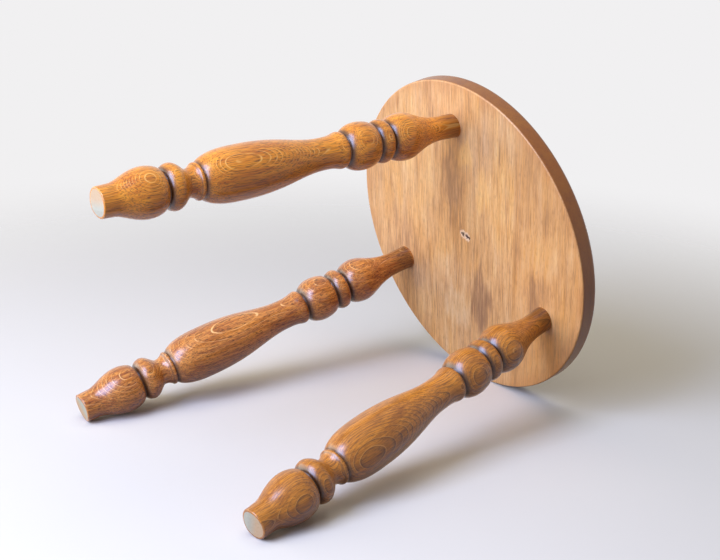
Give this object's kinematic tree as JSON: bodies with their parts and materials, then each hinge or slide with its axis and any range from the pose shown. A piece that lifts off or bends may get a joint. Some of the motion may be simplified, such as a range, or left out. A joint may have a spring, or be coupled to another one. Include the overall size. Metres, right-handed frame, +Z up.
{
  "type": "three-legged turned stool",
  "caption": "Low round-seated stool: turned and splayed baluster legs tenoned into blind sockets in an edge-glued wooden seat.",
  "frame": {"origin": "on the floor, in the middle of the stool's footprint (its bounding box)", "axes": "+Z up; the grain of the seat boards runs along Y, and the narrow board is on the +X side"},
  "size_m": [0.3154, 0.3195, 0.3664],
  "materials": {
    "seat_wood": "oiled and worn, satin",
    "leg_wood": "stained and varnished, gloss"
  },
  "bodies": {
    "root": {"seat_board_wide": "seat_wood", "seat_board_narrow": "seat_wood", "leg_front": "leg_wood", "leg_right": "leg_wood", "leg_left": "leg_wood"}
  },
  "joints": []
}
